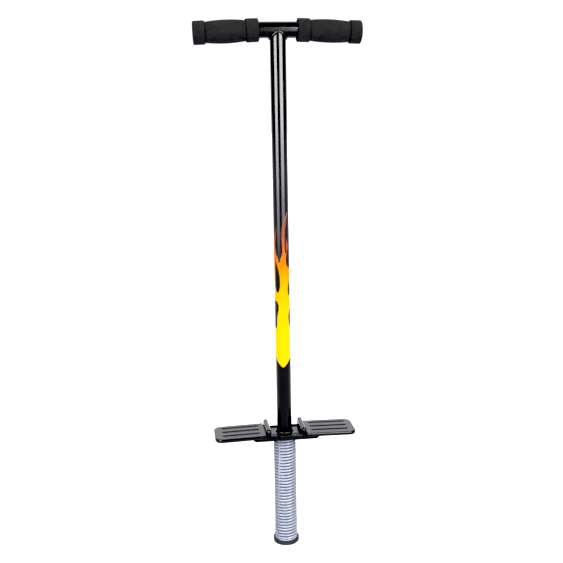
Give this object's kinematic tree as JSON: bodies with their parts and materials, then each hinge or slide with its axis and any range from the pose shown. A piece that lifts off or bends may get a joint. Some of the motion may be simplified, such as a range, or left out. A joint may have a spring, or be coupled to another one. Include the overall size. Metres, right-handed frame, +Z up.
{
  "type": "pogo stick",
  "caption": "Spring pogo stick: a T-shaped steel tube frame with foam hand grips, fold-up foot pedals and a rubber-footed plunger that slides against a coil spring.",
  "frame": {"origin": "middle of the rubber foot's sole, on the column's axis", "axes": "+Z up the column, +X and -X along the handlebar and pedals, -Y the front"},
  "size_m": [0.2942, 0.07, 0.9767],
  "materials": {
    "black_paint": "gloss black powder coat on steel",
    "foam": "matte closed-cell foam",
    "zinc_steel": "bright zinc plate",
    "nylon": "natural nylon, satin",
    "rubber": "moulded rubber, matte",
    "decal": "gloss printed vinyl film"
  },
  "bodies": {
    "frame": {"column_tube": "black_paint", "crossbar_tube": "black_paint", "handlebar_weld": "black_paint", "footrest_frame": "black_paint", "footrest_weld": "black_paint", "flame_decal": "decal", "left_grip": "foam", "right_grip": "foam", "left_bar_plug": "nylon", "right_bar_plug": "nylon", "left_hinge_pin": "black_paint", "right_hinge_pin": "black_paint", "hinge_washers": "black_paint", "lower_guide_bushing": "nylon", "rebound_bumper": "rubber", "spring_seat": "zinc_steel", "spring": "zinc_steel"},
    "plunger": {"plunger_tube": "zinc_steel", "upper_slider": "nylon", "slider_pin": "zinc_steel", "foot_plate": "zinc_steel", "foot_insert": "zinc_steel", "foot_bolt": "zinc_steel", "rubber_foot": "rubber"},
    "left_pedal": {"left_pedal_plate": "black_paint", "left_pedal_knuckle": "black_paint"},
    "right_pedal": {"right_pedal_plate": "black_paint", "right_pedal_knuckle": "black_paint"}
  },
  "joints": [
    {"name": "plunger_slide", "type": "slide", "parent": "frame", "child": "plunger", "axis": [0, 0, 1], "range_m": [0, 0.052], "stiffness_N_per_m": 2200, "springref_m": -0.15, "deforming": ["spring"]},
    {"name": "left_pedal_fold", "type": "hinge", "parent": "frame", "child": "left_pedal", "pos_m": [-0.033, 0, 0.235], "axis": [0, 1, 0], "range_deg": [0, 100]},
    {"name": "right_pedal_fold", "type": "hinge", "parent": "frame", "child": "right_pedal", "pos_m": [0.033, 0, 0.235], "axis": [0, -1, 0], "range_deg": [0, 100]}
  ]
}
